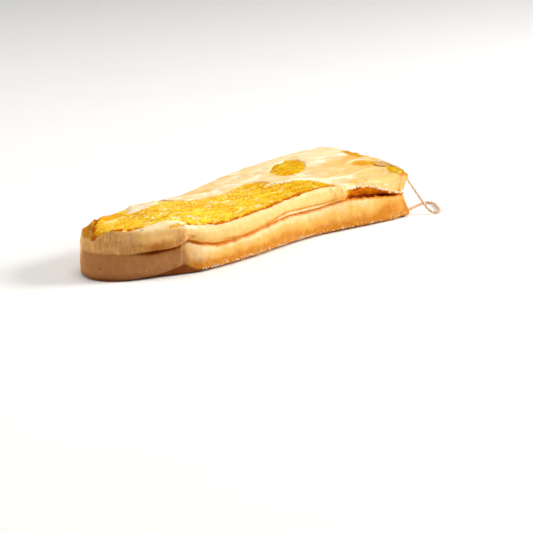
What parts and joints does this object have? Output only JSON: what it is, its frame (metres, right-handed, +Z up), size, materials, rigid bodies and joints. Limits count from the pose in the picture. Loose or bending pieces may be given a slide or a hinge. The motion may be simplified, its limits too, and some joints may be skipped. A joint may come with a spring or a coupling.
{
  "type": "smoked pork fatback",
  "caption": "Slab of smoked pork fatback on its rind, with two fat layers, a golden layer of lean bare along the top, a cover of fat and a hanging loop of twine.",
  "frame": {"origin": "middle of the slab's rind side, where it lies on a surface; the twine isn't counted", "axes": "+X along the slab from the narrow obliquely cut end to the wide end with the twine, -Y out of the long cut side, +Z up through the layers"},
  "size_m": [0.2314, 0.0857, 0.0277],
  "materials": {
    "lower_fat": "smoked back fat over rind, waxy satin, warm ochre darkening to brown at the rind",
    "upper_fat": "smoked back fat, waxy satin, cream with an ochre tone",
    "lean": "smoked lean, golden and granular, with small oily highlights",
    "cover_fat": "thin smoked fat, pale cream, waxy with low ridges",
    "twine": "thin twisted natural twine, dry"
  },
  "bodies": {
    "root": {"lower_fat": "lower_fat", "upper_fat": "upper_fat", "lean": "lean", "cover_fat": "cover_fat", "twine": "twine"}
  },
  "joints": []
}
